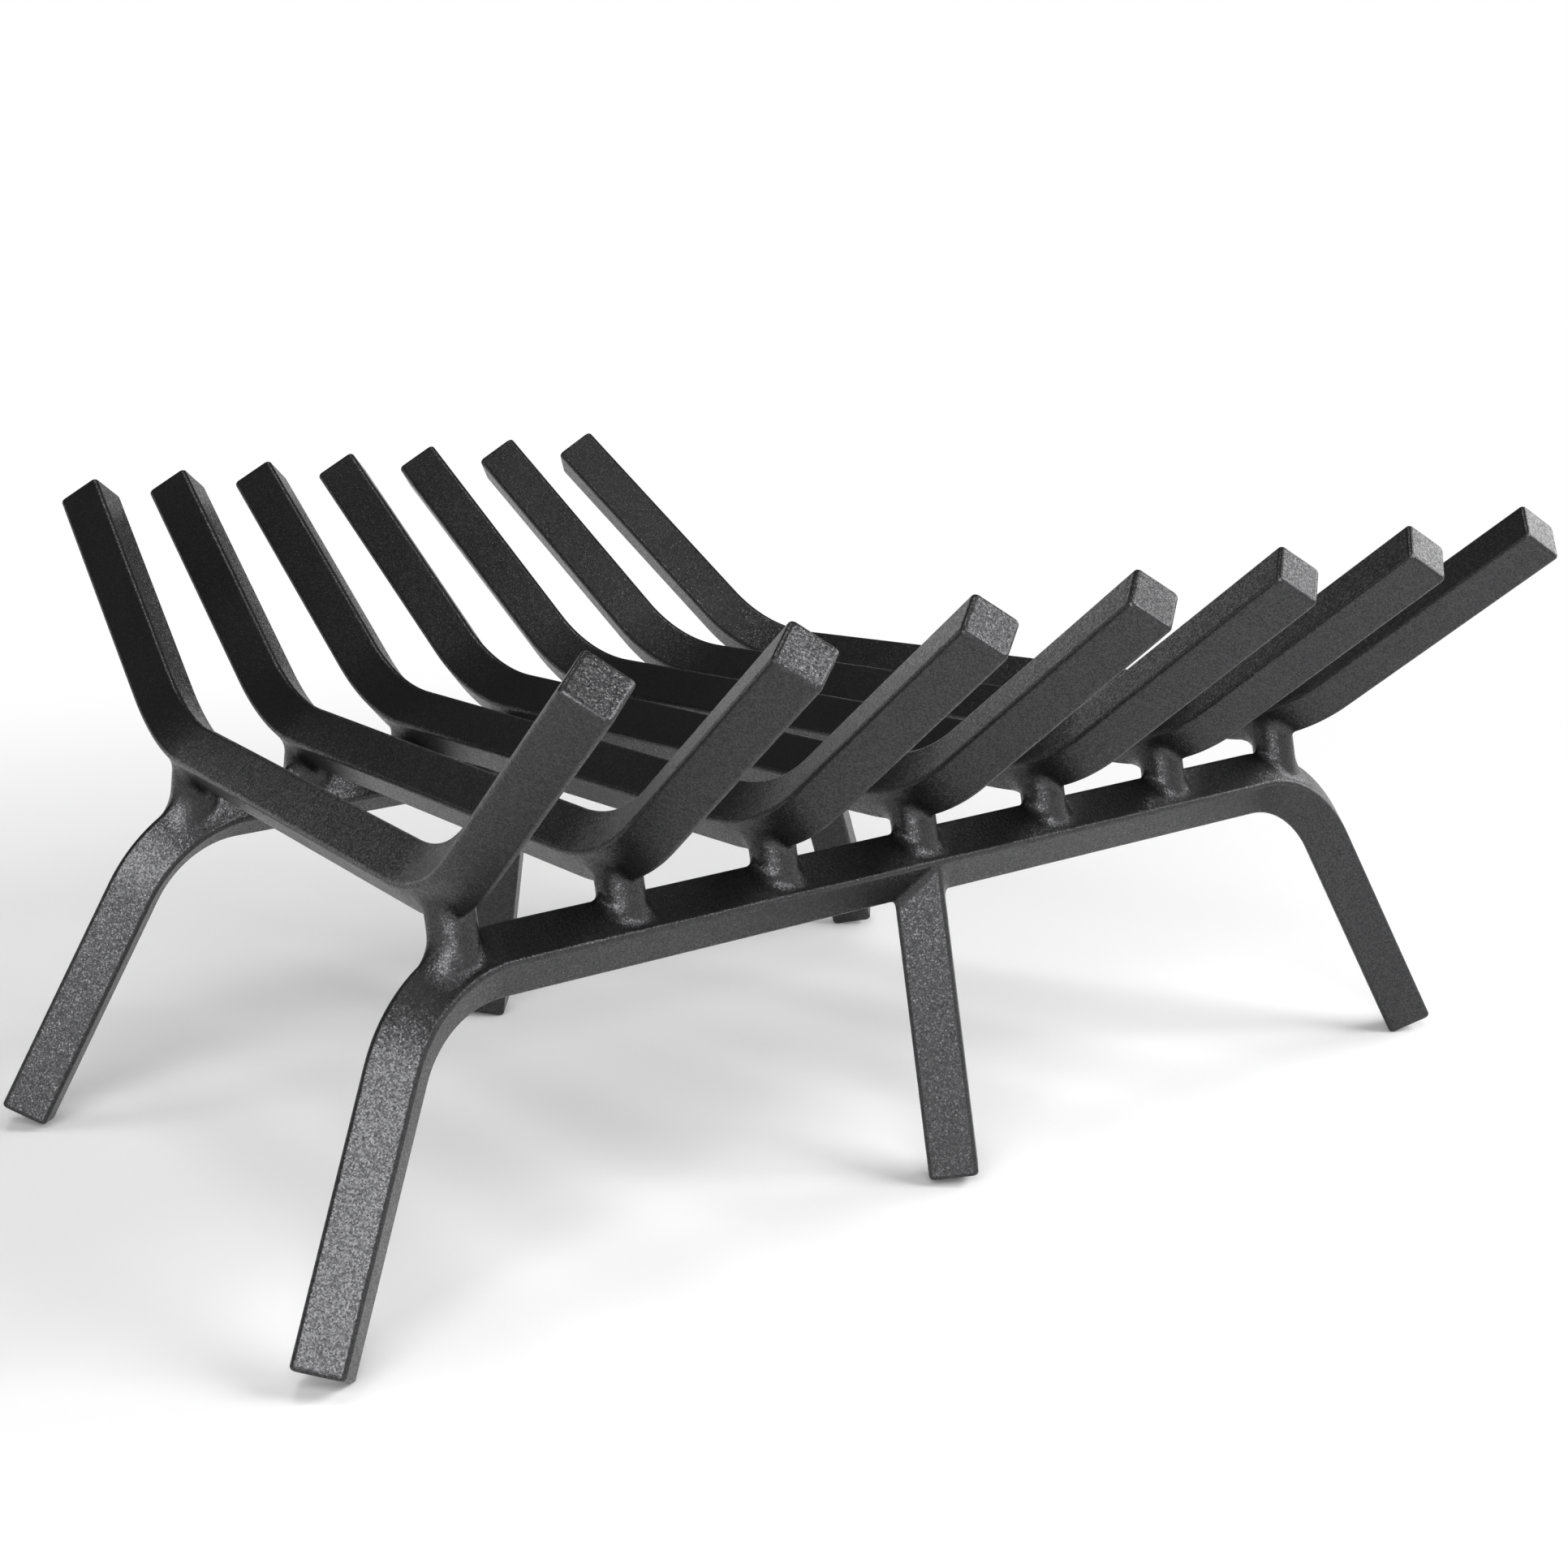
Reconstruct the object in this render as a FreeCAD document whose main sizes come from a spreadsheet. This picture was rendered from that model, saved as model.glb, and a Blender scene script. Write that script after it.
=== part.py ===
"""Fire grate of square bar set on the diamond.

Seven U-shaped grate bars fan out over two bent frames. Each frame is one bar: a rail with an end leg
bent down and out at either side. A third leg stands under the middle of each rail, and a short round
post, which leans with the frame, carries every bar on each rail. Nothing on it moves.

Frame: X along the rails, -Y is the front, +Z up, origin on the floor below the middle of the grate.
"""
import FreeCAD, Part
import math
import os
import Sketcher

BAR_COUNT = 7
DIAMOND_TURN = 45.0   # degrees, which puts a corner of the square bar on top

# Driving dimensions in millimetres and degrees, one row each: alias, value
DIMENSIONS = [
    ("stock_side", 19.0),            # side of the square bar that everything is made from
    ("edge_radius", 1.1),            # rolled edge along the bar
    ("cut_edge_radius", 0.8),        # eased edge round each sawn end
    ("bar_pitch", 62.6),             # between bars, on the line across their middles
    ("fan_angle", 4.2),              # turn between one bar and the next
    ("bar_flat_length", 214.0),      # straight middle of a bar
    ("bar_bend_radius", 82.5),       # to the middle of the bar
    ("arm_angle", 38.7),             # rise of both upturned arms
    ("arm_length", 113.0),           # straight part of an arm
    ("front_rail_reach", 131.5),     # front rail in front of the bars' middles
    ("rear_rail_reach", 122.0),      # rear rail behind the bars' middles
    ("rail_axis_height", 121.5),     # middle of both rails above the floor
    ("bar_lift", 26.7),              # middle of the flat of a bar above the middle of the rails
    ("frame_tilt", 10.7),            # each frame leans in at the top
    ("leg_splay", 26.0),             # end legs lean outwards in their frame
    ("leg_bend_radius", 52.0),       # to the middle of the bar
    ("front_corner_reach", 231.2),   # where front rail and leg lines would meet, from the middle
    ("rear_corner_reach", 173.1),    # the same on the shorter rear frame
    ("centre_leg_relief", 0.3),      # centre legs stop this far above the floor
    ("post_diameter", 17.5),         # round post between rail and bar
    ("post_setout", 1.5),            # middle of a post outside the middle of its rail
]

HALF_DIAGONAL = "Sizes.stock_side * sqrt(2) / 2"
# An eased corner pulls back by this much along the diagonal, and along a sawn end
CORNER_EASE = "Sizes.edge_radius * (sqrt(2) - 1)"
SIDE_DROP = "sin(Sizes.leg_splay) * cos(Sizes.frame_tilt)"
AXIS_DROP = "cos(Sizes.leg_splay) * cos(Sizes.frame_tilt)"
END_LEG_LIFT = (f"({HALF_DIAGONAL} - {CORNER_EASE}) * {SIDE_DROP}"
                f" - Sizes.cut_edge_radius * ({SIDE_DROP} + {AXIS_DROP} - 1)")
CENTRE_LEG_LIFT = (f"({HALF_DIAGONAL} - {CORNER_EASE}) * sin(Sizes.frame_tilt)"
                   " - Sizes.cut_edge_radius * (sin(Sizes.frame_tilt) + cos(Sizes.frame_tilt) - 1)")
BAR_AXIS_HEIGHT = "(Sizes.rail_axis_height + Sizes.bar_lift)"
LEG_TURN = "90 - Sizes.leg_splay"
BEND_TANGENT = f"Sizes.leg_bend_radius * tan(({LEG_TURN}) / 2)"

doc = FreeCAD.newDocument("fire_grate")
sheet = doc.addObject("Spreadsheet::Sheet", "Sizes")
for row, (alias, value) in enumerate(DIMENSIONS, start=1):
    sheet.set(f"A{row}", alias)
    sheet.set(f"B{row}", str(value))
    sheet.setAlias(f"B{row}", alias)
doc.recompute()
parts = []


def vector(x=0.0, y=0.0, z=0.0):
    """A vector with zero for what isn't given."""
    return FreeCAD.Vector(x, y, z)


def measure(expression):
    """The number that an expression in sheet sizes gives."""
    result = sheet.evalExpression(expression)
    return float(getattr(result, "Value", result))


def plane(body, role):
    """One of a body's own origin planes."""
    return next(feature for feature in body.Origin.OriginFeatures if feature.Role == role)


def new_sketch(body, name, role):
    """An empty sketch on one of the body's origin planes."""
    sketch = body.newObject("Sketcher::SketchObject", name)
    sketch.AttachmentSupport = [(plane(body, role), "")]
    sketch.MapMode = "FlatFace"
    return sketch


def drive(sketch, name, constraint, expression):
    """Adds a constraint whose value follows an expression in sheet sizes."""
    index = sketch.addConstraint(constraint)
    sketch.renameConstraint(index, name)
    sketch.setExpression(f"Constraints.{name}", expression)


def stock_section(body, role):
    """The rounded square of the bar stock, turned so that its corners point up, down and sideways."""
    sketch = new_sketch(body, "Section", role)
    half = measure("Sizes.stock_side") / 2
    radius = measure("Sizes.edge_radius")
    inner = half - radius
    corners = [(inner, -inner), (inner, inner), (-inner, inner), (-inner, -inner)]
    sides = [((-inner, -half), (inner, -half)), ((half, -inner), (half, inner)),
             ((inner, half), (-inner, half)), ((-half, inner), (-half, -inner))]
    for start, end in sides:
        sketch.addGeometry(Part.LineSegment(vector(*start), vector(*end)))
    for quarter, (x, y) in enumerate(corners):
        circle = Part.Circle(vector(x, y), vector(z=1), radius)
        start = math.pi / 2 * (quarter - 1)
        sketch.addGeometry(Part.ArcOfCircle(circle, start, start + math.pi / 2))
    count = len(sides)
    for side in range(count):
        sketch.addConstraint(Sketcher.Constraint("Tangent", side, 2, count + side, 1))
        sketch.addConstraint(Sketcher.Constraint("Tangent", count + side, 2, (side + 1) % count, 1))
    for side in (0, 2):
        sketch.addConstraint(Sketcher.Constraint("Horizontal", side))
        sketch.addConstraint(Sketcher.Constraint("Vertical", side + 1))
    for corner in range(1, count):
        sketch.addConstraint(Sketcher.Constraint("Equal", count, count + corner))
    sketch.addConstraint(Sketcher.Constraint("Symmetric", 0, 1, 2, 1, -1, 1))
    drive(sketch, "radius", Sketcher.Constraint("Radius", count, radius), "Sizes.edge_radius")
    drive(sketch, "width", Sketcher.Constraint("Distance", 3, 1, 1, 2 * half), "Sizes.stock_side")
    drive(sketch, "height", Sketcher.Constraint("Distance", 0, 1, 2, 2 * half), "Sizes.stock_side")
    sketch.AttachmentOffset = FreeCAD.Placement(vector(), FreeCAD.Rotation(vector(z=1), DIAMOND_TURN))
    return sketch


def bend_path(body, half_straight, radius, turn, end_length, rises):
    """Half of a U in the body's XZ plane: straight from the middle, then a bend, then a straight end."""
    sketch = new_sketch(body, "Path", "XZ_Plane")
    sign = 1 if rises else -1
    run = measure(half_straight)
    bend = measure(radius)
    angle = math.radians(measure(turn))
    length = measure(end_length)
    start = vector(run)
    leave = vector(run + bend * math.sin(angle), sign * bend * (1 - math.cos(angle)))
    end = leave + vector(length * math.cos(angle), sign * length * math.sin(angle))
    circle = Part.Circle(vector(run, sign * bend), vector(z=1), bend)
    first = -math.pi / 2 if rises else math.pi / 2 - angle
    sketch.addGeometry(Part.LineSegment(vector(), start))
    sketch.addGeometry(Part.ArcOfCircle(circle, first, first + angle))
    sketch.addGeometry(Part.LineSegment(leave, end))
    near, far = (1, 2) if rises else (2, 1)
    sketch.addConstraint(Sketcher.Constraint("Coincident", 0, 1, -1, 1))
    sketch.addConstraint(Sketcher.Constraint("Horizontal", 0))
    sketch.addConstraint(Sketcher.Constraint("Tangent", 0, 2, 1, near))
    sketch.addConstraint(Sketcher.Constraint("Tangent", 1, far, 2, 1))
    drive(sketch, "half_straight", Sketcher.Constraint("DistanceX", 0, 1, 0, 2, run), half_straight)
    drive(sketch, "bend_radius", Sketcher.Constraint("Radius", 1, bend), radius)
    drive(sketch, "end_length", Sketcher.Constraint("Distance", 2, length), end_length)
    drive(sketch, "turn", Sketcher.Constraint("Angle", 2, sign * angle), f"{sign} * ({turn})")
    return sketch


def ease_ends(body, feature):
    """Rounds the edges of both sawn ends, which are the flat faces furthest from the middle."""
    doc.recompute()
    faces = feature.Shape.Faces
    order = sorted(range(len(faces)), key=lambda index: faces[index].CenterOfMass.x)
    ends = [f"Face{index + 1}" for index in (order[0], order[-1])]
    fillet = body.newObject("PartDesign::Fillet", "Eased_ends")
    fillet.Base = (feature, ends)
    fillet.setExpression("Radius", "Sizes.cut_edge_radius")
    body.Tip = fillet


def bent_bar(label, half_straight, radius, turn, end_length, rises):
    """A bar bent the same way at both ends, made as one half and its mirror image."""
    body = doc.addObject("PartDesign::Body", label)
    section = stock_section(body, "YZ_Plane")
    path = bend_path(body, half_straight, radius, turn, end_length, rises)
    doc.recompute()
    sweep = body.newObject("PartDesign::AdditivePipe", "Half_bar")
    sweep.Profile = section
    sweep.Spine = path
    doc.recompute()
    mirror = body.newObject("PartDesign::Mirrored", "Both_halves")
    mirror.Originals = [sweep]
    mirror.MirrorPlane = (plane(body, "YZ_Plane"), [""])
    body.Tip = mirror
    ease_ends(body, mirror)
    return body


def straight_leg(label, length):
    """A straight leg that hangs down from its body's origin, with its foot eased."""
    body = doc.addObject("PartDesign::Body", label)
    section = stock_section(body, "XY_Plane")
    doc.recompute()
    pad = body.newObject("PartDesign::Pad", "Leg")
    pad.Profile = section
    pad.Reversed = True
    pad.setExpression("Length", length)
    doc.recompute()
    faces = pad.Shape.Faces
    foot = min(range(len(faces)), key=lambda index: faces[index].CenterOfMass.z)
    fillet = body.newObject("PartDesign::Fillet", "Eased_foot")
    fillet.Base = (pad, [f"Face{foot + 1}"])
    fillet.setExpression("Radius", "Sizes.cut_edge_radius")
    body.Tip = fillet
    return body


def place(item, x, y, z, axis, turn):
    """Binds an object's place and its turn about one axis to expressions in sheet sizes."""
    item.Placement = FreeCAD.Placement(vector(), FreeCAD.Rotation(axis, 1))
    for name, expression in (("Base.x", x), ("Base.y", y), ("Base.z", z), ("Rotation.Angle", turn)):
        item.setExpression(f"Placement.{name}", expression)


def keep(item, label):
    """Lists a finished sub-part under the name of its file."""
    item.Label = label
    parts.append(item)
    return item


def coped(item, *neighbours):
    """What is left of a piece once its ends are cut to fit the bars that it meets."""
    for neighbour in neighbours:
        cut = doc.addObject("Part::Cut", f"{item.Name}_coped")
        cut.Base = item
        cut.Tool = neighbour
        item = cut
    return item


def make_frame(side, forward, reach, corner_reach):
    """One rail with its end legs, and the centre leg welded under it."""
    tilt = f"{-forward} * Sizes.frame_tilt"
    y = f"{-forward} * {reach}"
    height = "Sizes.rail_axis_height"
    leg_length = f"(Sizes.rail_axis_height - ({END_LEG_LIFT})) / ({AXIS_DROP}) - {BEND_TANGENT}"
    rail = bent_bar(f"{side}_rail", f"{corner_reach} - {BEND_TANGENT}", "Sizes.leg_bend_radius",
                    LEG_TURN, leg_length, rises=False)
    place(rail, "0", y, height, vector(x=1), tilt)
    centre_length = (f"(Sizes.rail_axis_height - Sizes.centre_leg_relief - ({CENTRE_LEG_LIFT}))"
                     " / cos(Sizes.frame_tilt)")
    leg = straight_leg(f"{side}_leg_blank", centre_length)
    place(leg, "0", y, height, vector(x=1), tilt)
    keep(rail, f"{side}_rail")
    keep(coped(leg, rail), f"{side}_centre_leg")
    return rail


def make_bar(number):
    """One grate bar, turned about its own middle by its place in the fan."""
    step = number - (BAR_COUNT + 1) // 2
    bar = bent_bar(f"grate_bar_{number}", "Sizes.bar_flat_length / 2", "Sizes.bar_bend_radius",
                   "Sizes.arm_angle", "Sizes.arm_length", rises=True)
    place(bar, f"{step} * Sizes.bar_pitch", "0", BAR_AXIS_HEIGHT, vector(z=1),
          f"90 + {step} * Sizes.fan_angle")
    return keep(bar, f"grate_bar_{number}")


def make_post(side, forward, reach, number, rail, bar):
    """A round post that leans with its frame, from the rail up into one bar, its ends coped to both."""
    step = number - (BAR_COUNT + 1) // 2
    turn = f"({step} * Sizes.fan_angle)"
    foot_reach = f"({reach} + Sizes.post_setout)"
    top_reach = f"({foot_reach} - Sizes.bar_lift * tan(Sizes.frame_tilt))"
    past_flat = f"({top_reach} / cos{turn} - Sizes.bar_flat_length / 2)"
    rise = f"(Sizes.bar_bend_radius - sqrt(Sizes.bar_bend_radius ^ 2 - {past_flat} ^ 2))"
    post = doc.addObject("Part::Cylinder", f"{side}_post_blank_{number}")
    post.setExpression("Radius", "Sizes.post_diameter / 2")
    post.setExpression("Height", f"(Sizes.bar_lift + {rise}) / cos(Sizes.frame_tilt)")
    place(post, f"{step} * Sizes.bar_pitch + {forward} * {top_reach} * tan{turn}",
          f"{-forward} * {foot_reach}", "Sizes.rail_axis_height", vector(x=1), f"{-forward} * Sizes.frame_tilt")
    return keep(coped(post, rail, bar), f"{side}_post_{number}")


def main():
    """Builds the grate, checks every object and writes one file for each sub-part."""
    sides = (("front", 1, "Sizes.front_rail_reach", "Sizes.front_corner_reach"),
             ("rear", -1, "Sizes.rear_rail_reach", "Sizes.rear_corner_reach"))
    bars = [make_bar(number) for number in range(1, BAR_COUNT + 1)]
    for side, forward, reach, corner_reach in sides:
        rail = make_frame(side, forward, reach, corner_reach)
        for number, bar in enumerate(bars, start=1):
            make_post(side, forward, reach, number, rail, bar)
    doc.recompute()
    failed = [item.Name for item in doc.Objects if {"Invalid", "Error"} & set(item.State)]
    if failed:
        raise RuntimeError(f"objects that failed: {failed}")
    for item in parts:
        if item.Shape.isNull() or not item.Shape.isValid():
            raise RuntimeError(f"no valid shape: {item.Label}")
    os.makedirs("parts", exist_ok=True)
    for item in parts:
        item.Shape.exportStep(f"parts/{item.Label}.step")
        print(item.Label, len(item.Shape.Solids), round(item.Shape.Volume, 1), item.Shape.BoundBox)


main()
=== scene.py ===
"""Dresses the fire grate: bent square bars, flared posts and legs in charcoal stove paint.

Every piece stands in the frame of the solid model: X along the rails, -Y to the front, +Z up.
Lengths are in metres and the angles in size fields are in degrees.
"""
import logging
import math
from dataclasses import dataclass, field
from enum import Enum

import bpy
from mathutils import Matrix, Vector
from mathutils.bvhtree import BVHTree


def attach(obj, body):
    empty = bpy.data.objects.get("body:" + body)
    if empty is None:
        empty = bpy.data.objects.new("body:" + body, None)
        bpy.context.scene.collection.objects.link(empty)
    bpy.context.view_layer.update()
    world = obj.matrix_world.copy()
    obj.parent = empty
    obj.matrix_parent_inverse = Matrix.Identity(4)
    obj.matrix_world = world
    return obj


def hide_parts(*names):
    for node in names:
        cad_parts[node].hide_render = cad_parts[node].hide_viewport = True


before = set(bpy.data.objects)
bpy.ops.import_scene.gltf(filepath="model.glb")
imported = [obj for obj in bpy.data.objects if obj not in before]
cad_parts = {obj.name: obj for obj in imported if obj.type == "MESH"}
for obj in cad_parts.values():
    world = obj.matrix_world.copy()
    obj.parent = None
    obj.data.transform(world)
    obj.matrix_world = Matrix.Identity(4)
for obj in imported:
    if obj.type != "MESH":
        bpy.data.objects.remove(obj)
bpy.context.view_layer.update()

Tree = bpy.types.NodeTree
Socket = bpy.types.NodeSocket
Triple = tuple[float, float, float]
Outline = list[tuple[Vector, Vector]]
Rings = list[list[Vector]]

LOG = logging.getLogger("fire_grate")
MM = 0.001
BODY = "root"
QUARTER_TURN = 90.0
WHITE = (1.0, 1.0, 1.0, 1.0)
# The sRGB curve is straight up to its knee and a power above it
SRGB_KNEE, SRGB_SLOPE, SRGB_OFFSET, SRGB_POWER = 0.04045, 12.92, 0.055, 2.4
# These nodes have sockets of the same name for each data type, so the sockets go by number
MIX_FACTOR, MIX_A, MIX_B, MIX_RESULT = 0, 6, 7, 2
COMPARE_A, COMPARE_B = 2, 3
# Corners of a face on the wall of a bar. Only the sawn ends have more
WALL_FACE_CORNERS = 4
# Rings of a stub, counted upwards, where a weld fillet ends on its bar
FOOT_RIM, HEAD_RIM = 1, -2


def add_node(tree: Tree, kind: str, inputs: dict | None = None,
             **settings: object) -> bpy.types.Node:
    """Adds a node, sets its options and fills its sockets.

    Args:
        tree: Material, world or geometry tree that the node joins.
        kind: Blender's name for the node type.
        inputs: Socket name or index to a plain value, or to the output socket it is linked from.
        settings: Options of the node itself.

    Returns:
        The new node.
    """
    node = tree.nodes.new(kind)
    for name, value in settings.items():
        setattr(node, name, value)
    for key, value in (inputs or {}).items():
        if isinstance(value, Socket):
            tree.links.new(value, node.inputs[key])
        else:
            node.inputs[key].default_value = value
    return node


def linear(hex_colour: str) -> tuple[float, float, float, float]:
    """Turns an sRGB hex colour into linear light.

    Args:
        hex_colour: Six hex digits after a hash.

    Returns:
        Red, green, blue and an alpha of one.
    """
    shares = [int(hex_colour[place:place + 2], 16) / 255 for place in (1, 3, 5)]
    light = [share / SRGB_SLOPE if share <= SRGB_KNEE
             else ((share + SRGB_OFFSET) / (1 + SRGB_OFFSET)) ** SRGB_POWER for share in shares]
    return (*light, 1.0)


def per_metre(size_mm: float) -> float:
    """The texture scale whose pattern repeats about once in size_mm."""
    return 1.0 / (size_mm * MM)


@dataclass(frozen=True)
class StovePaint:
    """Charcoal heat-resistant paint, sprayed on rolled steel.

    Aluminium flakes lie in the paint at slightly different tilts and catch the light as fine pale
    grains wherever a face looks at a lamp. Faces turned away stay an even near-black. Spraying adds
    a slight orange peel and leaves the sheen a little cloudy.
    """

    name: str = "stove_paint_charcoal_sprayed"
    base: str = "#373738"
    flake: str = "#4e4e4f"
    metallic: float = 1.0
    roughness: float = 0.38
    cloud_spread: float = 0.05
    flake_spread: float = 0.2
    flake_tilt: float = 0.11
    flake_mm: float = 0.5
    peel_mm: float = 2.6
    cloud_mm: float = 55.0
    peel_depth_mm: float = 0.03
    peel_octaves: float = 1.0
    peel_octave_share: float = 0.4
    cloud_octaves: float = 3.0
    # Values between which nearly all of the cloud noise lies
    cloud_range: tuple[float, float] = (0.3, 0.7)

    def material(self) -> bpy.types.Material:
        """Builds the node material.

        Returns:
            The finished material.
        """
        material = bpy.data.materials.new(self.name)
        material.use_nodes = True
        tree = material.node_tree
        tree.nodes.clear()
        place = add_node(tree, "ShaderNodeTexCoord").outputs["Object"]
        # Real flakes are finer than a pixel here, so they are drawn as coarse as they need to show
        flakes = add_node(tree, "ShaderNodeTexVoronoi", {
            "Vector": place, "Scale": per_metre(self.flake_mm)})
        chance = add_node(tree, "ShaderNodeTexWhiteNoise", {
            "Vector": flakes.outputs["Position"]}).outputs["Value"]
        colour = add_node(tree, "ShaderNodeMix", {
            MIX_FACTOR: chance, MIX_A: linear(self.base), MIX_B: linear(self.flake)},
            data_type="RGBA")
        shader = add_node(tree, "ShaderNodeBsdfPrincipled", {
            "Base Color": colour.outputs[MIX_RESULT], "Metallic": self.metallic,
            "Roughness": self._sheen(tree, place, chance),
            "Normal": self._relief(tree, place, flakes.outputs["Color"])})
        add_node(tree, "ShaderNodeOutputMaterial", {"Surface": shader.outputs["BSDF"]})
        return material

    def _sheen(self, tree: Tree, place: Socket, chance: Socket) -> Socket:
        """Roughness that drifts in clouds and drops on the smoother flakes.

        Args:
            tree: Node tree of the material.
            place: Coordinates on the piece.
            chance: A number from zero to one, drawn once for each flake.

        Returns:
            The roughness.
        """
        lowest, highest = self.cloud_range
        drift, spread = self.cloud_spread / 2, self.flake_spread / 2
        cloud = add_node(tree, "ShaderNodeTexNoise", {
            "Vector": place, "Scale": per_metre(self.cloud_mm), "Detail": self.cloud_octaves})
        cloudy = add_node(tree, "ShaderNodeMapRange", {
            "Value": cloud.outputs["Fac"], "From Min": lowest, "From Max": highest,
            "To Min": self.roughness - drift, "To Max": self.roughness + drift})
        smoother = add_node(tree, "ShaderNodeMapRange", {
            "Value": chance, "To Min": spread, "To Max": -spread})
        return add_node(tree, "ShaderNodeMath", {
            0: cloudy.outputs["Result"], 1: smoother.outputs["Result"]}, operation="ADD").outputs[0]

    def _relief(self, tree: Tree, place: Socket, lot: Socket) -> Socket:
        """Orange peel, with every flake tilted its own way on it.

        Args:
            tree: Node tree of the material.
            place: Coordinates on the piece.
            lot: Three numbers from zero to one, drawn once for each flake.

        Returns:
            The way that the surface faces.
        """
        peel = add_node(tree, "ShaderNodeTexNoise", {
            "Vector": place, "Scale": per_metre(self.peel_mm), "Detail": self.peel_octaves,
            "Roughness": self.peel_octave_share})
        orange_peel = add_node(tree, "ShaderNodeBump", {
            "Height": peel.outputs["Fac"], "Distance": self.peel_depth_mm * MM, "Strength": 1.0})
        tilt = add_node(tree, "ShaderNodeVectorMath", {
            0: lot, 1: (2 * self.flake_tilt,) * 3, 2: (-self.flake_tilt,) * 3},
            operation="MULTIPLY_ADD")
        tilted = add_node(tree, "ShaderNodeVectorMath", {
            0: orange_peel.outputs["Normal"], 1: tilt.outputs["Vector"]}, operation="ADD")
        return add_node(tree, "ShaderNodeVectorMath", {
            0: tilted.outputs["Vector"]}, operation="NORMALIZE").outputs["Vector"]


class Bend(Enum):
    """Which way both ends of a bar are bent."""

    UP = 1.0
    DOWN = -1.0


class End(Enum):
    """The two ends of a stub, with the way to them along its axis."""

    HEAD = 1.0
    FOOT = -1.0


class Side(Enum):
    """The two frames that carry the bars, with the sign of their Y."""

    FRONT = -1.0
    REAR = 1.0

    @property
    def label(self) -> str:
        """The word that the frame's nodes begin with."""
        return self.name.lower()


@dataclass(frozen=True)
class Stock:
    """Square bar that everything but the posts is made from."""

    side: float = 19.0 * MM
    edge_radius: float = 1.9 * MM
    cut_edge_radius: float = 1.7 * MM
    edge_steps: int = 6
    flat_steps: int = 8
    cut_steps: int = 4

    @property
    def corner(self) -> float:
        """From the middle of the bar to its rounded corner."""
        return self.side / math.sqrt(2.0) - self.edge_radius * (math.sqrt(2.0) - 1)

    @property
    def weld_reach(self) -> float:
        """From the middle of the bar to the furthest that a weld fillet may go across it."""
        return self.corner - self.edge_radius / 2

    def foot_lift(self, side_drop: float, axis_drop: float) -> float:
        """Height of the middle of a slanting sawn end that stands on the floor.

        Args:
            side_drop: How far the end's lowest corner falls for each metre from the middle.
            axis_drop: How far the bar falls for each metre of its length.

        Returns:
            The height at which the eased edge at that corner touches the floor.
        """
        return self.corner * side_drop - self.cut_edge_radius * (side_drop + axis_drop - 1)

    def cut_profile(self) -> list[tuple[float, float]]:
        """Quarter circle that eases a sawn end, from the wall to the flat of the end.

        Returns:
            Pairs of the way out, as a share of the radius, and half the bar's width there.
        """
        angles = [step / self.cut_steps * math.pi / 2 for step in range(self.cut_steps + 1)]
        return [(math.sin(angle), self.side / 2 - self.cut_edge_radius * (1 - math.cos(angle)))
                for angle in angles]

    def outline(self) -> Outline:
        """Points round the section, corner up, each with the way that its surface faces.

        Returns:
            Pairs of place and outward direction in the plane of the section, anticlockwise.
        """
        inner = (self.side / 2 - self.edge_radius) * math.sqrt(2.0)
        points = []
        for quarter in range(4):
            middle = quarter * math.pi / 2
            centre = Vector((math.cos(middle), math.sin(middle))) * inner
            for step in range(self.edge_steps + 1):
                angle = middle + (step / self.edge_steps - 0.5) * math.pi / 2
                out = Vector((math.cos(angle), math.sin(angle)))
                points.append((centre + out * self.edge_radius, out))
            start, out = points[-1]
            along = Vector((-out.y, out.x)) * (self.side - 2 * self.edge_radius)
            points += [(start + along * step / self.flat_steps, out)
                       for step in range(1, self.flat_steps)]
        return points


@dataclass(frozen=True)
class BendRule:
    """Path of a bar bent alike at both ends: a straight middle, two bends, two straight ends."""

    half_straight: float
    radius: float
    turn: float
    end_length: float
    bend: Bend

    @property
    def tangent(self) -> float:
        """From the start of a bend to the corner where its two straights would meet."""
        return self.radius * math.tan(math.radians(self.turn) / 2)

    @property
    def corner_reach(self) -> float:
        """From the middle of the bar to that corner."""
        return self.half_straight + self.tangent

    def end(self, shorter_by: float) -> tuple[float, float]:
        """Where the end of the path lies.

        Args:
            shorter_by: How far the path stops before the sawn end.

        Returns:
            Reach along the bar and height, from the middle of the straight part.
        """
        run = self.tangent + self.end_length - shorter_by
        angle = math.radians(self.turn)
        rise = self.bend.value * run * math.sin(angle)
        return self.corner_reach + run * math.cos(angle), rise


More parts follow.
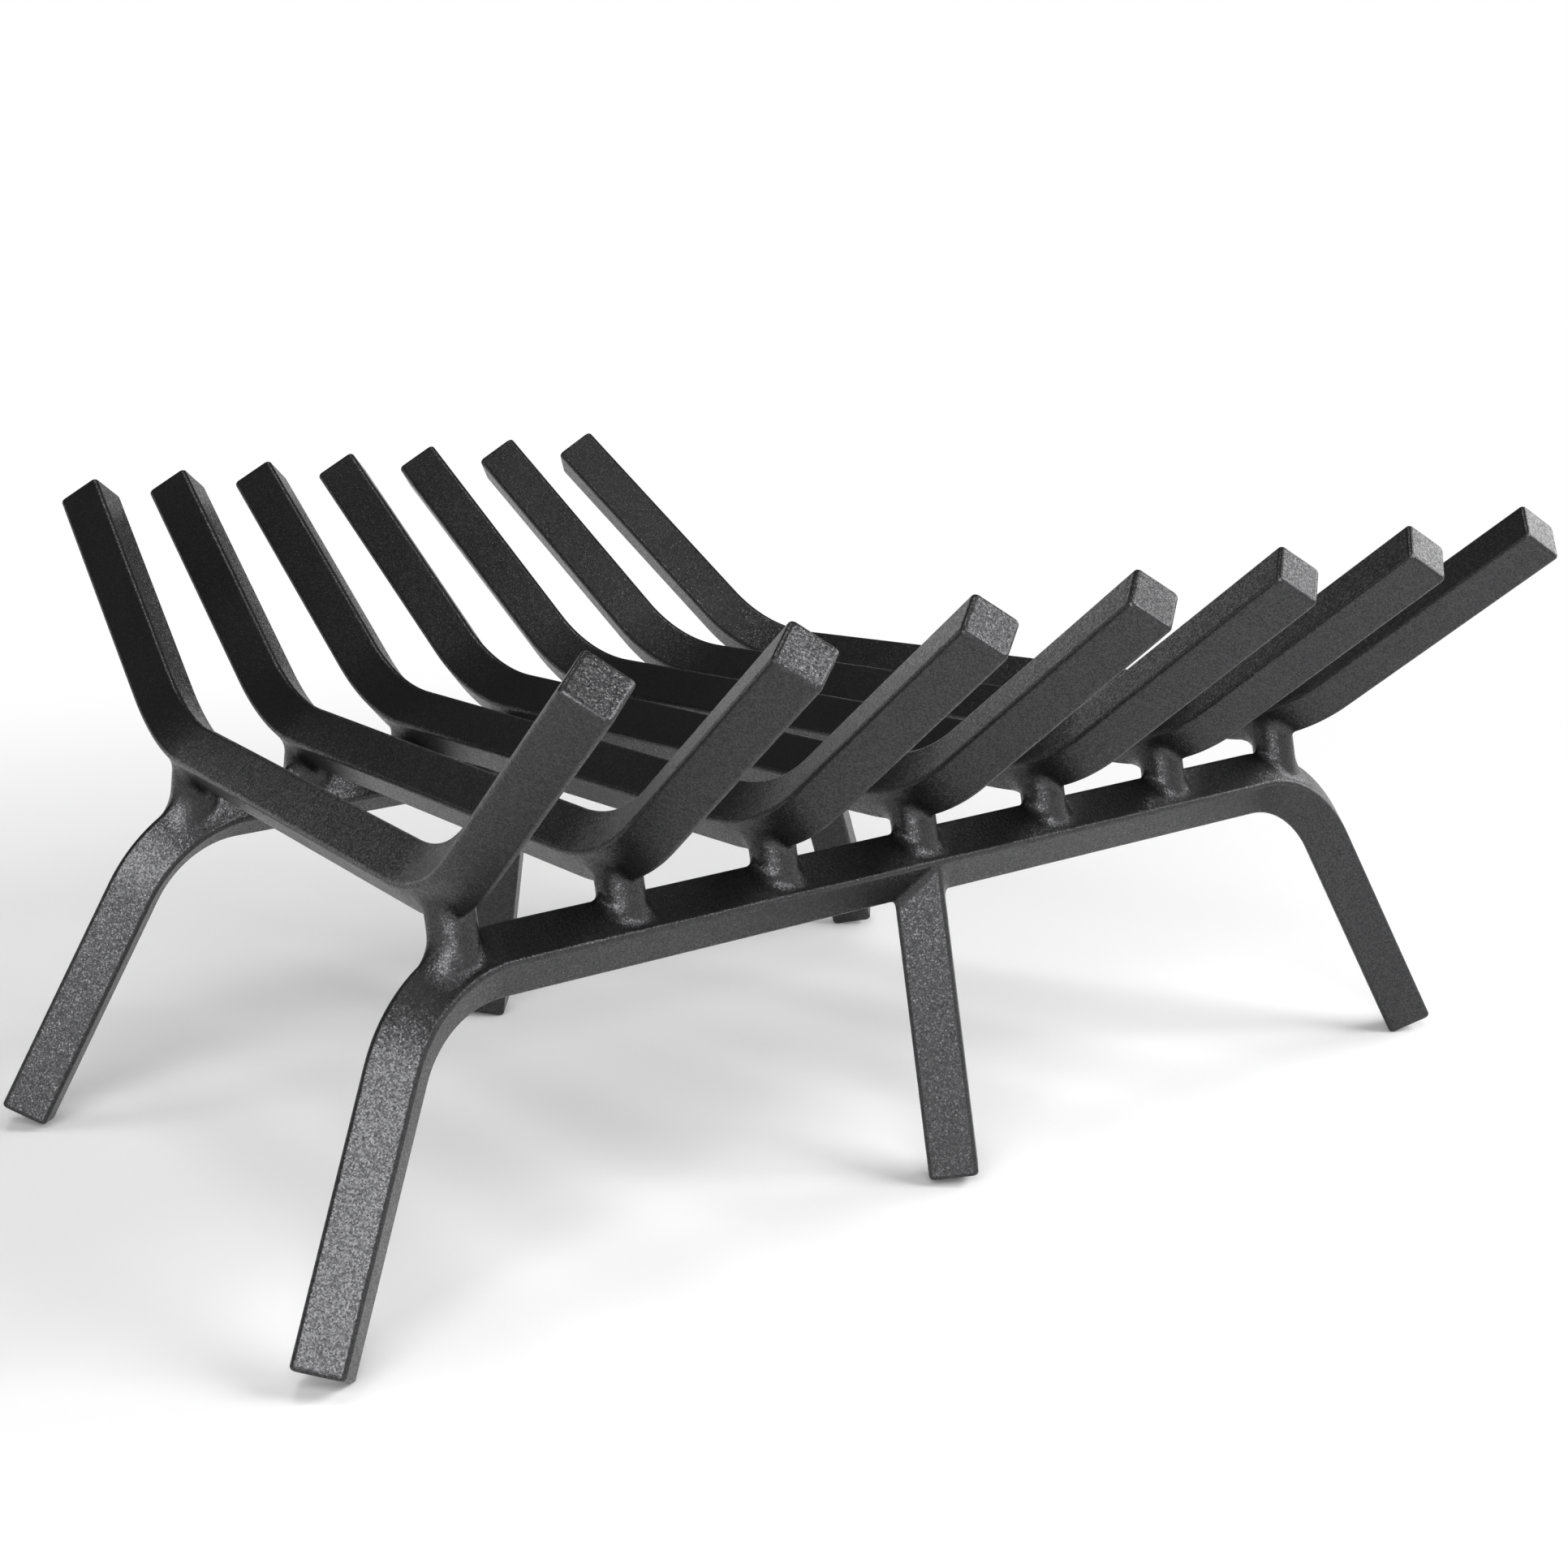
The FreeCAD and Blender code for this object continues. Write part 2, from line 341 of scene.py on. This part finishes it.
@dataclass
class BarTree:
    """Geometry Nodes tree that sweeps the square stock along a bent path and eases its ends."""

    stock: Stock
    bend_steps: int = 28
    tree: bpy.types.GeometryNodeTree = field(init=False)

    def __post_init__(self) -> None:
        """Builds the tree once for every bar and rail."""
        self.tree = bpy.data.node_groups.new("bent_square_bar", "GeometryNodeTree")
        kinds = {"Corner Reach": "Float", "End Reach": "Float", "End Rise": "Float",
                 "Bend Radius": "Float", "Stock Side": "Float", "Edge Radius": "Float",
                 "Cut Edge Radius": "Float", "Turn": "Vector", "Place": "Vector",
                 "Paint": "Material"}
        for name, kind in kinds.items():
            self.tree.interface.new_socket(name, in_out="INPUT", socket_type=f"NodeSocket{kind}")
        self.tree.interface.new_socket("Bar", in_out="OUTPUT", socket_type="NodeSocketGeometry")
        sizes = add_node(self.tree, "NodeGroupInput").outputs
        swept = add_node(self.tree, "GeometryNodeCurveToMesh", {
            "Curve": self._path(sizes), "Profile Curve": self._section(sizes), "Fill Caps": True})
        eased = self._ease(swept.outputs["Mesh"], sizes)
        smooth = add_node(self.tree, "GeometryNodeSetShadeSmooth", {0: eased})
        placed = add_node(self.tree, "GeometryNodeTransform", {
            "Geometry": smooth.outputs[0], "Translation": sizes["Place"],
            "Rotation": sizes["Turn"]})
        real = add_node(self.tree, "GeometryNodeRealizeInstances", {0: placed.outputs[0]})
        painted = add_node(self.tree, "GeometryNodeSetMaterial", {
            0: real.outputs[0], "Material": sizes["Paint"]})
        add_node(self.tree, "NodeGroupOutput", {"Bar": painted.outputs[0]})

    def _path(self, sizes: bpy.types.bpy_prop_collection) -> Socket:
        """Open line through both ends and both corners, rounded to the bend radius.

        Args:
            sizes: Inputs of the tree.

        Returns:
            The line that the section is swept along.
        """
        stops = (("End Reach", "End Rise", -1.0), ("Corner Reach", None, -1.0),
                 ("Corner Reach", None, 1.0), ("End Reach", "End Rise", 1.0))
        points = {}
        for place, (reach, rise, sign) in enumerate(stops, 1):
            run = add_node(self.tree, "ShaderNodeMath", {
                0: sizes[reach], 1: sign}, operation="MULTIPLY")
            stop = {"X": run.outputs[0]}
            if rise:
                stop["Z"] = sizes[rise]
            point = add_node(self.tree, "ShaderNodeCombineXYZ", stop)
            points[f"Point {place}"] = point.outputs[0]
        corners = add_node(self.tree, "GeometryNodeCurvePrimitiveQuadrilateral", points,
                           mode="POINTS")
        opened = add_node(self.tree, "GeometryNodeSetSplineCyclic", {
            0: corners.outputs[0], "Cyclic": False})
        rounded = add_node(self.tree, "GeometryNodeFilletCurve", {
            0: opened.outputs[0], "Count": self.bend_steps, "Radius": sizes["Bend Radius"]},
            mode="POLY")
        return rounded.outputs[0]

    def _section(self, sizes: bpy.types.bpy_prop_collection) -> Socket:
        """Rounded square with a corner up.

        Args:
            sizes: Inputs of the tree.

        Returns:
            The section's closed line.
        """
        square = add_node(self.tree, "GeometryNodeCurvePrimitiveQuadrilateral", {
            "Width": sizes["Stock Side"], "Height": sizes["Stock Side"]}, mode="RECTANGLE")
        rounded = add_node(self.tree, "GeometryNodeFilletCurve", {
            0: square.outputs[0], "Count": self.stock.edge_steps,
            "Radius": sizes["Edge Radius"]}, mode="POLY")
        turned = add_node(self.tree, "GeometryNodeTransform", {
            0: rounded.outputs[0], "Rotation": (0.0, 0.0, math.pi / 4)})
        return turned.outputs[0]

    def _ease(self, mesh: Socket, sizes: bpy.types.bpy_prop_collection) -> Socket:
        """Draws both sawn ends out in small steps that shrink along a quarter circle.

        Args:
            mesh: Swept bar with flat ends.
            sizes: Inputs of the tree.

        Returns:
            The bar with eased ends.
        """
        around = add_node(self.tree, "GeometryNodeInputMeshFaceNeighbors")
        caps = add_node(self.tree, "FunctionNodeCompare", {
            COMPARE_A: around.outputs["Vertex Count"], COMPARE_B: WALL_FACE_CORNERS},
            data_type="INT", operation="GREATER_THAN").outputs[0]
        profile = self.stock.cut_profile()
        for (last_out, last_half), (out, half) in zip(profile, profile[1:]):
            length = add_node(self.tree, "ShaderNodeMath", {
                0: sizes["Cut Edge Radius"], 1: out - last_out}, operation="MULTIPLY")
            drawn = add_node(self.tree, "GeometryNodeExtrudeMesh", {
                "Mesh": mesh, "Selection": caps, "Offset Scale": length.outputs[0],
                "Individual": True}, mode="FACES")
            shrunk = add_node(self.tree, "GeometryNodeScaleElements", {
                "Geometry": drawn.outputs["Mesh"], "Selection": drawn.outputs["Top"],
                "Scale": half / last_half})
            mesh, caps = shrunk.outputs[0], drawn.outputs["Top"]
        return mesh

    def make(self, name: str, rule: BendRule, turn: Triple, place: Triple,
             paint: bpy.types.Material) -> bpy.types.Object:
        """Bakes one bar to a plain mesh.

        Args:
            name: Name of the piece.
            rule: Path that the bar is bent to.
            turn: Rotation about X, Y and Z in radians.
            place: Middle of the bar's straight part.
            paint: Finish of the piece.

        Returns:
            The piece, at the origin with its place in its mesh.
        """
        reach, rise = rule.end(self.stock.cut_edge_radius)
        values = {"Corner Reach": rule.corner_reach, "End Reach": reach, "End Rise": rise,
                  "Bend Radius": rule.radius, "Stock Side": self.stock.side,
                  "Edge Radius": self.stock.edge_radius,
                  "Cut Edge Radius": self.stock.cut_edge_radius,
                  "Turn": turn, "Place": place, "Paint": paint}
        piece = bpy.data.objects.new(name, bpy.data.meshes.new(f"{name}_seed"))
        bpy.context.scene.collection.objects.link(piece)
        nodes = piece.modifiers.new("bent_square_bar", "NODES")
        nodes.node_group = self.tree
        for socket in self.tree.interface.items_tree:
            if socket.in_out == "INPUT":
                nodes[socket.identifier] = values[socket.name]
        return settle(piece)


def settle(piece: bpy.types.Object) -> bpy.types.Object:
    """Keeps flats flat and edges round in the shading, then makes the piece a plain mesh.

    Args:
        piece: Object whose modifiers are done with.

    Returns:
        The same object with no modifiers left.
    """
    normals = piece.modifiers.new("flat_faces", "WEIGHTED_NORMAL")
    normals.keep_sharp = True
    graph = bpy.context.evaluated_depsgraph_get()
    mesh = bpy.data.meshes.new_from_object(piece.evaluated_get(graph), depsgraph=graph)
    mesh.name = piece.name
    piece.modifiers.clear()
    piece.data = mesh
    return piece


def hang(piece: bpy.types.Object, *nodes: str) -> bpy.types.Object:
    """Ties a finished piece to the frame and lets it stand for its solids.

    Args:
        piece: Finished piece.
        nodes: Solids that it stands for.

    Returns:
        The same piece.
    """
    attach(piece, BODY)
    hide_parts(*nodes)
    LOG.info("%s: %d faces", piece.name, len(piece.data.polygons))
    return piece


def surface_of(piece: bpy.types.Object) -> BVHTree:
    """A finished piece's surface, ready to be probed."""
    points = [vertex.co for vertex in piece.data.vertices]
    return BVHTree.FromPolygons(points, [face.vertices for face in piece.data.polygons])


@dataclass(frozen=True)
class Weld:
    """Fillet between a stub and the bar whose surface this is.

    The limits are how far across the bar it may reach on either side, so that it ends on the bar.
    The stretch is extra reach on one side only, as a direction in the plane of the stub's outline.
    """

    surface: BVHTree
    fillet: float
    limits: tuple[float, float] = (-math.inf, math.inf)
    stretch: tuple[float, float] = (0.0, 0.0)

    def reach(self, out: Vector) -> float:
        """How far it goes from a wall that faces out, where the bar has room for it."""
        pull = Vector(self.stretch)
        return self.fillet + max(out.dot(pull.normalized()), 0.0) ** 2 * pull.length


@dataclass
class Stub:
    """Short upright with the same outline all the way, flared by a weld where it meets a bar."""

    origin: Vector
    axis: Vector
    outline: Outline
    across: Vector = field(default_factory=lambda: Vector((1.0, 0.0, 0.0)))
    flare_steps: int = 12
    # Share of the wall that one fillet may climb, which leaves room for the other
    wall_share: float = 0.48
    least_climb: float = 0.3 * MM
    # Power of the soft limit that draws a fillet in near the edge of a bar. More is sharper
    draw_in: float = 3.0
    # Size of the end that is sunk in the bar, as a share of the outline
    sunk_share: float = 0.5

    def point(self, place: Vector, height: float) -> Vector:
        """A point from its place in the outline's plane and its height along the axis."""
        depth = self.axis.cross(self.across)
        return self.origin + self.across * place.x + depth * place.y + self.axis * height

    def meet(self, surface: BVHTree, place: Vector, start: float, towards: float) -> float:
        """Height at which a line along the axis meets a bar's surface.

        Args:
            surface: Bar that the stub is welded to.
            place: Point in the outline's plane.
            start: Height where the line starts, clear of the bar.
            towards: 1 to look up along the axis, -1 to look down.

        Returns:
            The height, taken from the nearest point of the bar where the line passes it.
        """
        begin = self.point(place, start)
        hit = surface.ray_cast(begin, self.axis * towards)[0]
        if hit is None:
            hit = surface.find_nearest(begin)[0]
        return (hit - self.origin).dot(self.axis)

    def _toe(self, place: Vector, out: Vector, weld: Weld) -> Vector:
        """Where a weld fillet that starts from one point of the wall ends on the bar.

        Args:
            place: Point of the outline.
            out: The way that the wall faces there.
            weld: The fillet.

        Returns:
            The end, drawn in smoothly across the bar where the edge of the bar is near.
        """
        side = math.copysign(1.0, out.y)
        room = (weld.limits[out.y > 0] - place.y) * side
        depth = abs(out.y) * weld.reach(out)
        inward = 0.0
        if room > 0.0 and depth > 0.0:
            inward = (depth ** -self.draw_in + room ** -self.draw_in) ** (-1 / self.draw_in)
        return Vector((place.x + out.x * weld.reach(out), place.y + side * inward))

    def flare(self, weld: Weld, start: float, end: End, opposite: Weld | None = None) -> Rings:
        """Rings of a weld fillet, from the stub's wall out to the bar's face and on into the bar.

        It goes as far along the wall as along the bar, so that it is evenly round.

        Args:
            weld: The fillet.
            start: Height between the bars that is clear of both.
            end: End of the stub that the fillet is at.
            opposite: Fillet at the other end, which needs the rest of the wall.

        Returns:
            Rings from the wall to the end, the last one sunk in the bar.
        """
        towards = end.value
        rings: Rings = [[] for _ in range(self.flare_steps + 2)]
        for place, out in self.outline:
            wide = self._toe(place, out, weld)
            corner = self.meet(weld.surface, place, start, towards)
            foot = self.meet(weld.surface, wide, start, towards)
            climb = max(math.hypot((wide - place).length, foot - corner), self.least_climb)
            if opposite:
                wall = abs(self.meet(opposite.surface, place, start, -towards) - corner)
                climb = min(climb, self.wall_share * wall)
            rise = corner - towards * climb
            for step in range(self.flare_steps + 1):
                share = step / self.flare_steps
                near, middle, far = (1 - share) ** 2, 2 * share * (1 - share), share ** 2
                spot = place * (near + middle) + wide * far
                height = rise * near + corner * middle + foot * far
                rings[step].append(self.point(spot, height))
            sunk = corner + towards * weld.fillet
            rings[-1].append(self.point(place * self.sunk_share, sunk))
        return rings

    def foot(self, height: float, stock: Stock) -> Rings:
        """Rings of a square-sawn foot with its edge eased.

        Args:
            height: Where the flat of the foot lies along the axis.
            stock: Bar that the stub is sawn from.

        Returns:
            Rings from the wall down to the flat.
        """
        rings = []
        for out, half in stock.cut_profile():
            shrink, lift = half / (stock.side / 2), stock.cut_edge_radius * (1 - out)
            rings.append([self.point(place * shrink, height + lift) for place, _ in self.outline])
        return rings

    def piece(self, name: str, lower: Rings, upper: Rings, rims: tuple[int, ...],
              paint: bpy.types.Material) -> bpy.types.Object:
        """Joins the rings of both ends into one closed piece.

        Args:
            name: Name of the piece.
            lower: Rings from the wall downwards.
            upper: Rings from the wall upwards.
            rims: Rings, counted upwards, where a fillet ends and turns sharply into its bar.
            paint: Finish of the piece.

        Returns:
            The piece, smooth and closed.
        """
        rings = lower[::-1] + upper
        count = len(self.outline)
        points = [point for ring in rings for point in ring]
        faces = [tuple(range(count))[::-1], tuple(range(len(points) - count, len(points)))]
        for ring in range(len(rings) - 1):
            low, high = ring * count, (ring + 1) * count
            for turn in range(count):
                after = (turn + 1) % count
                faces.append((low + turn, low + after, high + after, high + turn))
        mesh = bpy.data.meshes.new(name)
        mesh.from_pydata(points, [], faces)
        mesh.shade_smooth()
        mesh.materials.append(paint)
        sharp = {rim % len(rings) for rim in rims}
        for edge in mesh.edges:
            first, second = (vertex // count for vertex in edge.vertices)
            edge.use_edge_sharp = first == second and first in sharp
        piece = bpy.data.objects.new(name, mesh)
        bpy.context.scene.collection.objects.link(piece)
        return settle(piece)


@dataclass
class GrateBars:
    """The seven bars of the grate, alike and fanned out about their middles."""

    tree: BarTree
    count: int = 7
    pitch: float = 62.6 * MM
    fan: float = 4.2
    axis_height: float = 148.2 * MM
    rule: BendRule = BendRule(half_straight=107.0 * MM, radius=82.5 * MM, turn=38.7,
                              end_length=113.0 * MM, bend=Bend.UP)
    pieces: list[bpy.types.Object] = field(default_factory=list)

    def step(self, number: int) -> int:
        """Place of a bar counted from the middle one."""
        return number - (self.count + 1) // 2

    def build(self, paint: bpy.types.Material) -> None:
        """Bends every bar and turns it to its place in the fan.

        Args:
            paint: Finish of the bars.
        """
        for number in range(1, self.count + 1):
            step = self.step(number)
            turn = (0.0, 0.0, math.radians(QUARTER_TURN + step * self.fan))
            place = (step * self.pitch, 0.0, self.axis_height)
            piece = self.tree.make(f"bar_{number}", self.rule, turn, place, paint)
            self.pieces.append(hang(piece, f"grate_bar_{number}"))


@dataclass
class CarryingFrame:
    """One rail with its end legs, its centre leg and a post under each bar."""

    side: Side
    bars: GrateBars
    reach: float
    corner_reach: float
    axis_height: float = 121.5 * MM
    tilt: float = 10.7
    splay: float = 26.0
    leg_radius: float = 52.0 * MM
    leg_fillet: float = 3.4 * MM
    foot_relief: float = 0.3 * MM
    post_diameter: float = 17.5 * MM
    post_points: int = 64
    post_setout: float = 1.5 * MM
    post_foot_fillet: float = 4.6 * MM
    post_end_stretch: float = 6.0 * MM
    post_head_fillet: float = 3.2 * MM
    post_head_stretch: float = 6.0 * MM

    @property
    def middle(self) -> Vector:
        """Middle of the rail."""
        return Vector((0.0, self.side.value * self.reach, self.axis_height))

    @property
    def lean(self) -> float:
        """Turn of the frame about X, which leans its top inwards."""
        return self.side.value * math.radians(self.tilt)

    @property
    def upward(self) -> Vector:
        """The way up in the leaning frame."""
        return Matrix.Rotation(self.lean, 3, "X") @ Vector((0.0, 0.0, 1.0))

    def rule(self, stock: Stock) -> BendRule:
        """Path of the rail, whose ends stand on the floor.

        Args:
            stock: Bar that it is bent from.

        Returns:
            The path in the frame's own plane.
        """
        tilt, splay = math.radians(self.tilt), math.radians(self.splay)
        turn = QUARTER_TURN - self.splay
        axis_drop = math.cos(splay) * math.cos(tilt)
        lift = stock.foot_lift(math.sin(splay) * math.cos(tilt), axis_drop)
        tangent = self.leg_radius * math.tan(math.radians(turn) / 2)
        length = (self.axis_height - lift) / axis_drop - tangent
        return BendRule(half_straight=self.corner_reach - tangent, radius=self.leg_radius,
                        turn=turn, end_length=length, bend=Bend.DOWN)

    def build(self, paint: bpy.types.Material) -> None:
        """Makes the rail first, because the leg and the posts are fitted to it.

        Args:
            paint: Finish of the frame.
        """
        tree = self.bars.tree
        rail = tree.make(f"{self.side.label}_frame", self.rule(tree.stock),
                         (self.lean, 0.0, 0.0), tuple(self.middle), paint)
        hang(rail, f"{self.side.label}_rail")
        surface = surface_of(rail)
        self._centre_leg(surface, paint)
        for number in range(1, self.bars.count + 1):
            self._post(number, surface, paint)

    def _centre_leg(self, rail: BVHTree, paint: bpy.types.Material) -> None:
        """Straight leg welded under the middle of the rail.

        Args:
            rail: Surface of the rail.
            paint: Finish of the leg.
        """
        stock, tilt = self.bars.tree.stock, math.radians(self.tilt)
        stub = Stub(self.middle, self.upward, stock.outline())
        lift = stock.foot_lift(math.sin(tilt), math.cos(tilt))
        length = (self.axis_height - self.foot_relief - lift) / math.cos(tilt)
        weld = Weld(rail, self.leg_fillet, (-stock.weld_reach, stock.weld_reach))
        lower, upper = stub.foot(-length, stock), stub.flare(weld, -length / 2, End.HEAD)
        piece = stub.piece(f"{self.side.label}_middle_leg", lower, upper, (HEAD_RIM,), paint)
        hang(piece, f"{self.side.label}_centre_leg")

    def _post(self, number: int, rail: BVHTree, paint: bpy.types.Material) -> None:
        """Round post between the rail and one bar, leaning with the frame and flared into both.

        Args:
            number: Number of the bar.
            rail: Surface of the rail.
            paint: Finish of the post.
        """
        step = self.bars.step(number)
        turn = math.radians(step * self.bars.fan)
        lift = self.bars.axis_height - self.axis_height
        foot = self.side.value * (self.reach + self.post_setout)
        top = foot - self.side.value * lift * math.tan(math.radians(self.tilt))
        x = step * self.bars.pitch - top * math.tan(turn)
        stub = Stub(Vector((x, foot, self.axis_height)), self.upward, self._post_outline())
        below = self._foot_weld(rail, step)
        above = self._head_weld(surface_of(self.bars.pieces[number - 1]), turn)
        lower = stub.flare(below, lift / 2, End.FOOT, above)
        upper = stub.flare(above, lift / 2, End.HEAD, below)
        piece = stub.piece(f"{self.side.label}_upright_{number}", lower, upper,
                           (FOOT_RIM, HEAD_RIM), paint)
        hang(piece, f"{self.side.label}_post_{number}")

    def _post_outline(self) -> Outline:
        """Points round a post, each with the way that its surface faces.

        Returns:
            Pairs of place and outward direction, anticlockwise.
        """
        angles = [place / self.post_points * 2 * math.pi for place in range(self.post_points)]
        ways = [Vector((math.cos(angle), math.sin(angle))) for angle in angles]
        return [(out * self.post_diameter / 2, out) for out in ways]

    def _foot_weld(self, rail: BVHTree, step: int) -> Weld:
        """Weld of a post on the rail, which reaches further where the rail bends down beside it.

        Args:
            rail: Surface of the rail.
            step: Place of the post counted from the middle one.

        Returns:
            The weld.
        """
        ridge, reach = -self.side.value * self.post_setout, self.bars.tree.stock.weld_reach
        is_last = abs(step) == self.bars.step(self.bars.count)
        stretch = math.copysign(self.post_end_stretch, step) if is_last else 0.0
        return Weld(rail, self.post_foot_fillet, (ridge - reach, ridge + reach), (stretch, 0.0))

    def _head_weld(self, bar: BVHTree, turn: float) -> Weld:
        """Weld of a post under a bar, which reaches further along the bar to the inside.

        Args:
            bar: Surface of the bar.
            turn: Turn of the bar in the fan, in radians.

        Returns:
            The weld.
        """
        inward = -self.side.value * self.post_head_stretch
        stretch = (-math.sin(turn) * inward, math.cos(turn) * inward)
        return Weld(bar, self.post_head_fillet, stretch=stretch)


@dataclass(frozen=True)
class Lamp:
    """A large soft lamp that looks at the grate."""

    name: str
    place: Triple
    aim: Triple
    size: tuple[float, float]
    watts: float

    def build(self) -> None:
        """Hangs the lamp."""
        data = bpy.data.lights.new(self.name, "AREA")
        data.shape = "RECTANGLE"
        data.size, data.size_y = self.size
        data.energy = self.watts
        lamp = bpy.data.objects.new(self.name, data)
        lamp.location = self.place
        look = Vector(self.aim) - Vector(self.place)
        lamp.rotation_euler = look.to_track_quat("-Z", "Y").to_euler()
        bpy.context.scene.collection.objects.link(lamp)


@dataclass(frozen=True)
class Studio:
    """White floor, soft lamps and the camera."""

    floor_size: float = 40.0
    floor_colour: str = "#f6f6f6"
    # Distances from the middle of the grate between which the floor turns plain white
    floor_near: float = 0.35
    floor_far: float = 1.0
    horizon_strength: float = 1.0
    zenith_strength: float = 0.12
    # Heights on a sky of radius one where the pale walls end and the dim ceiling begins
    wall_top: float = 0.08
    ceiling_edge: float = 0.45
    lamps: tuple[Lamp, ...] = (
        Lamp("key_softbox", place=(-1.85, -1.6, 1.22), aim=(0.0, 0.0, 0.1),
             size=(1.7, 1.7), watts=64.0),
        Lamp("right_softbox", place=(2.0, -0.55, 0.95), aim=(0.1, -0.15, 0.15),
             size=(1.2, 1.0), watts=18.0),
        Lamp("front_lamp", place=(0.75, -1.3, 1.3), aim=(0.3, -0.35, 0.0),
             size=(1.2, 0.8), watts=22.0),
        Lamp("ceiling_softbox", place=(-0.1, 0.3, 3.0), aim=(0.0, 0.0, 0.0),
             size=(1.0, 1.0), watts=14.0),
    )
    camera_place: Triple = (-0.7844, -0.9150, 0.4035)
    camera_turn: Triple = (77.27, 0.0, -42.50)
    lens_mm: float = 68.87
    sensor_mm: float = 36.0
    shift: tuple[float, float] = (-0.002, -0.002)

    def build(self) -> None:
        """Sets the stage."""
        self._floor()
        self._world()
        for lamp in self.lamps:
            lamp.build()
        self._camera()

    def _floor(self) -> None:
        """Lays the floor."""
        half = self.floor_size / 2
        corners = [(-half, -half, 0.0), (half, -half, 0.0), (half, half, 0.0), (-half, half, 0.0)]
        mesh = bpy.data.meshes.new("floor")
        mesh.from_pydata(corners, [], [(0, 1, 2, 3)])
        mesh.materials.append(self._paper())
        floor = bpy.data.objects.new("floor", mesh)
        bpy.context.scene.collection.objects.link(floor)

    def _paper(self) -> bpy.types.Material:
        """Matt backdrop paper, which keeps the grate's shadow and runs out to plain white.

        Returns:
            The finished material.
        """
        material = bpy.data.materials.new("paper_backdrop_white")
        material.use_nodes = True
        tree = material.node_tree
        tree.nodes.clear()
        path = add_node(tree, "ShaderNodeLightPath")
        straight = add_node(tree, "ShaderNodeMath", {
            0: path.outputs["Is Camera Ray"], 1: path.outputs["Is Glossy Ray"]},
            operation="MAXIMUM")
        seen = add_node(tree, "ShaderNodeMath", {
            0: straight.outputs[0], 1: path.outputs["Is Transmission Ray"]}, operation="MAXIMUM")
        place = add_node(tree, "ShaderNodeTexCoord").outputs["Object"]
        reach = add_node(tree, "ShaderNodeVectorMath", {0: place}, operation="LENGTH")
        away = add_node(tree, "ShaderNodeMapRange", {
            "Value": reach.outputs["Value"], "From Min": self.floor_near,
            "From Max": self.floor_far}, interpolation_type="SMOOTHSTEP")
        share = add_node(tree, "ShaderNodeMath", {
            0: seen.outputs[0], 1: away.outputs["Result"]}, operation="MULTIPLY")
        paper = add_node(tree, "ShaderNodeBsdfDiffuse", {"Color": linear(self.floor_colour)})
        white = add_node(tree, "ShaderNodeEmission", {"Strength": 1.0})
        mixed = add_node(tree, "ShaderNodeMixShader", {
            0: share.outputs[0], 1: paper.outputs[0], 2: white.outputs[0]})
        add_node(tree, "ShaderNodeOutputMaterial", {"Surface": mixed.outputs[0]})
        return material

    def _world(self) -> None:
        """White round the horizon and dim overhead, as between pale walls and a dark ceiling."""
        world = bpy.data.worlds.new("studio")
        world.use_nodes = True
        tree = world.node_tree
        tree.nodes.clear()
        place = add_node(tree, "ShaderNodeTexCoord").outputs["Generated"]
        height = add_node(tree, "ShaderNodeSeparateXYZ", {0: place}).outputs["Z"]
        strength = add_node(tree, "ShaderNodeMapRange", {
            "Value": height, "From Min": self.wall_top, "From Max": self.ceiling_edge,
            "To Min": self.horizon_strength, "To Max": self.zenith_strength},
            interpolation_type="SMOOTHSTEP")
        light = add_node(tree, "ShaderNodeBackground", {
            "Color": WHITE, "Strength": strength.outputs["Result"]})
        add_node(tree, "ShaderNodeOutputWorld", {"Surface": light.outputs[0]})
        bpy.context.scene.world = world

    def _camera(self) -> None:
        """The photograph's point of view for a square frame."""
        data = bpy.data.cameras.new("camera")
        data.lens = self.lens_mm
        data.sensor_width = self.sensor_mm
        data.shift_x, data.shift_y = self.shift
        camera = bpy.data.objects.new("camera", data)
        camera.location = self.camera_place
        camera.rotation_euler = [math.radians(angle) for angle in self.camera_turn]
        bpy.context.scene.collection.objects.link(camera)
        bpy.context.scene.camera = camera


def main() -> None:
    """Builds the grate and its studio."""
    logging.basicConfig(level=logging.INFO, format="%(name)s: %(message)s")
    bpy.context.scene.view_settings.view_transform = "Standard"
    paint = StovePaint().material()
    bars = GrateBars(BarTree(Stock()))
    bars.build(paint)
    CarryingFrame(Side.FRONT, bars, reach=131.5 * MM, corner_reach=231.2 * MM).build(paint)
    CarryingFrame(Side.REAR, bars, reach=122.0 * MM, corner_reach=173.1 * MM).build(paint)
    Studio().build()


if __name__ == "__main__":
    main()
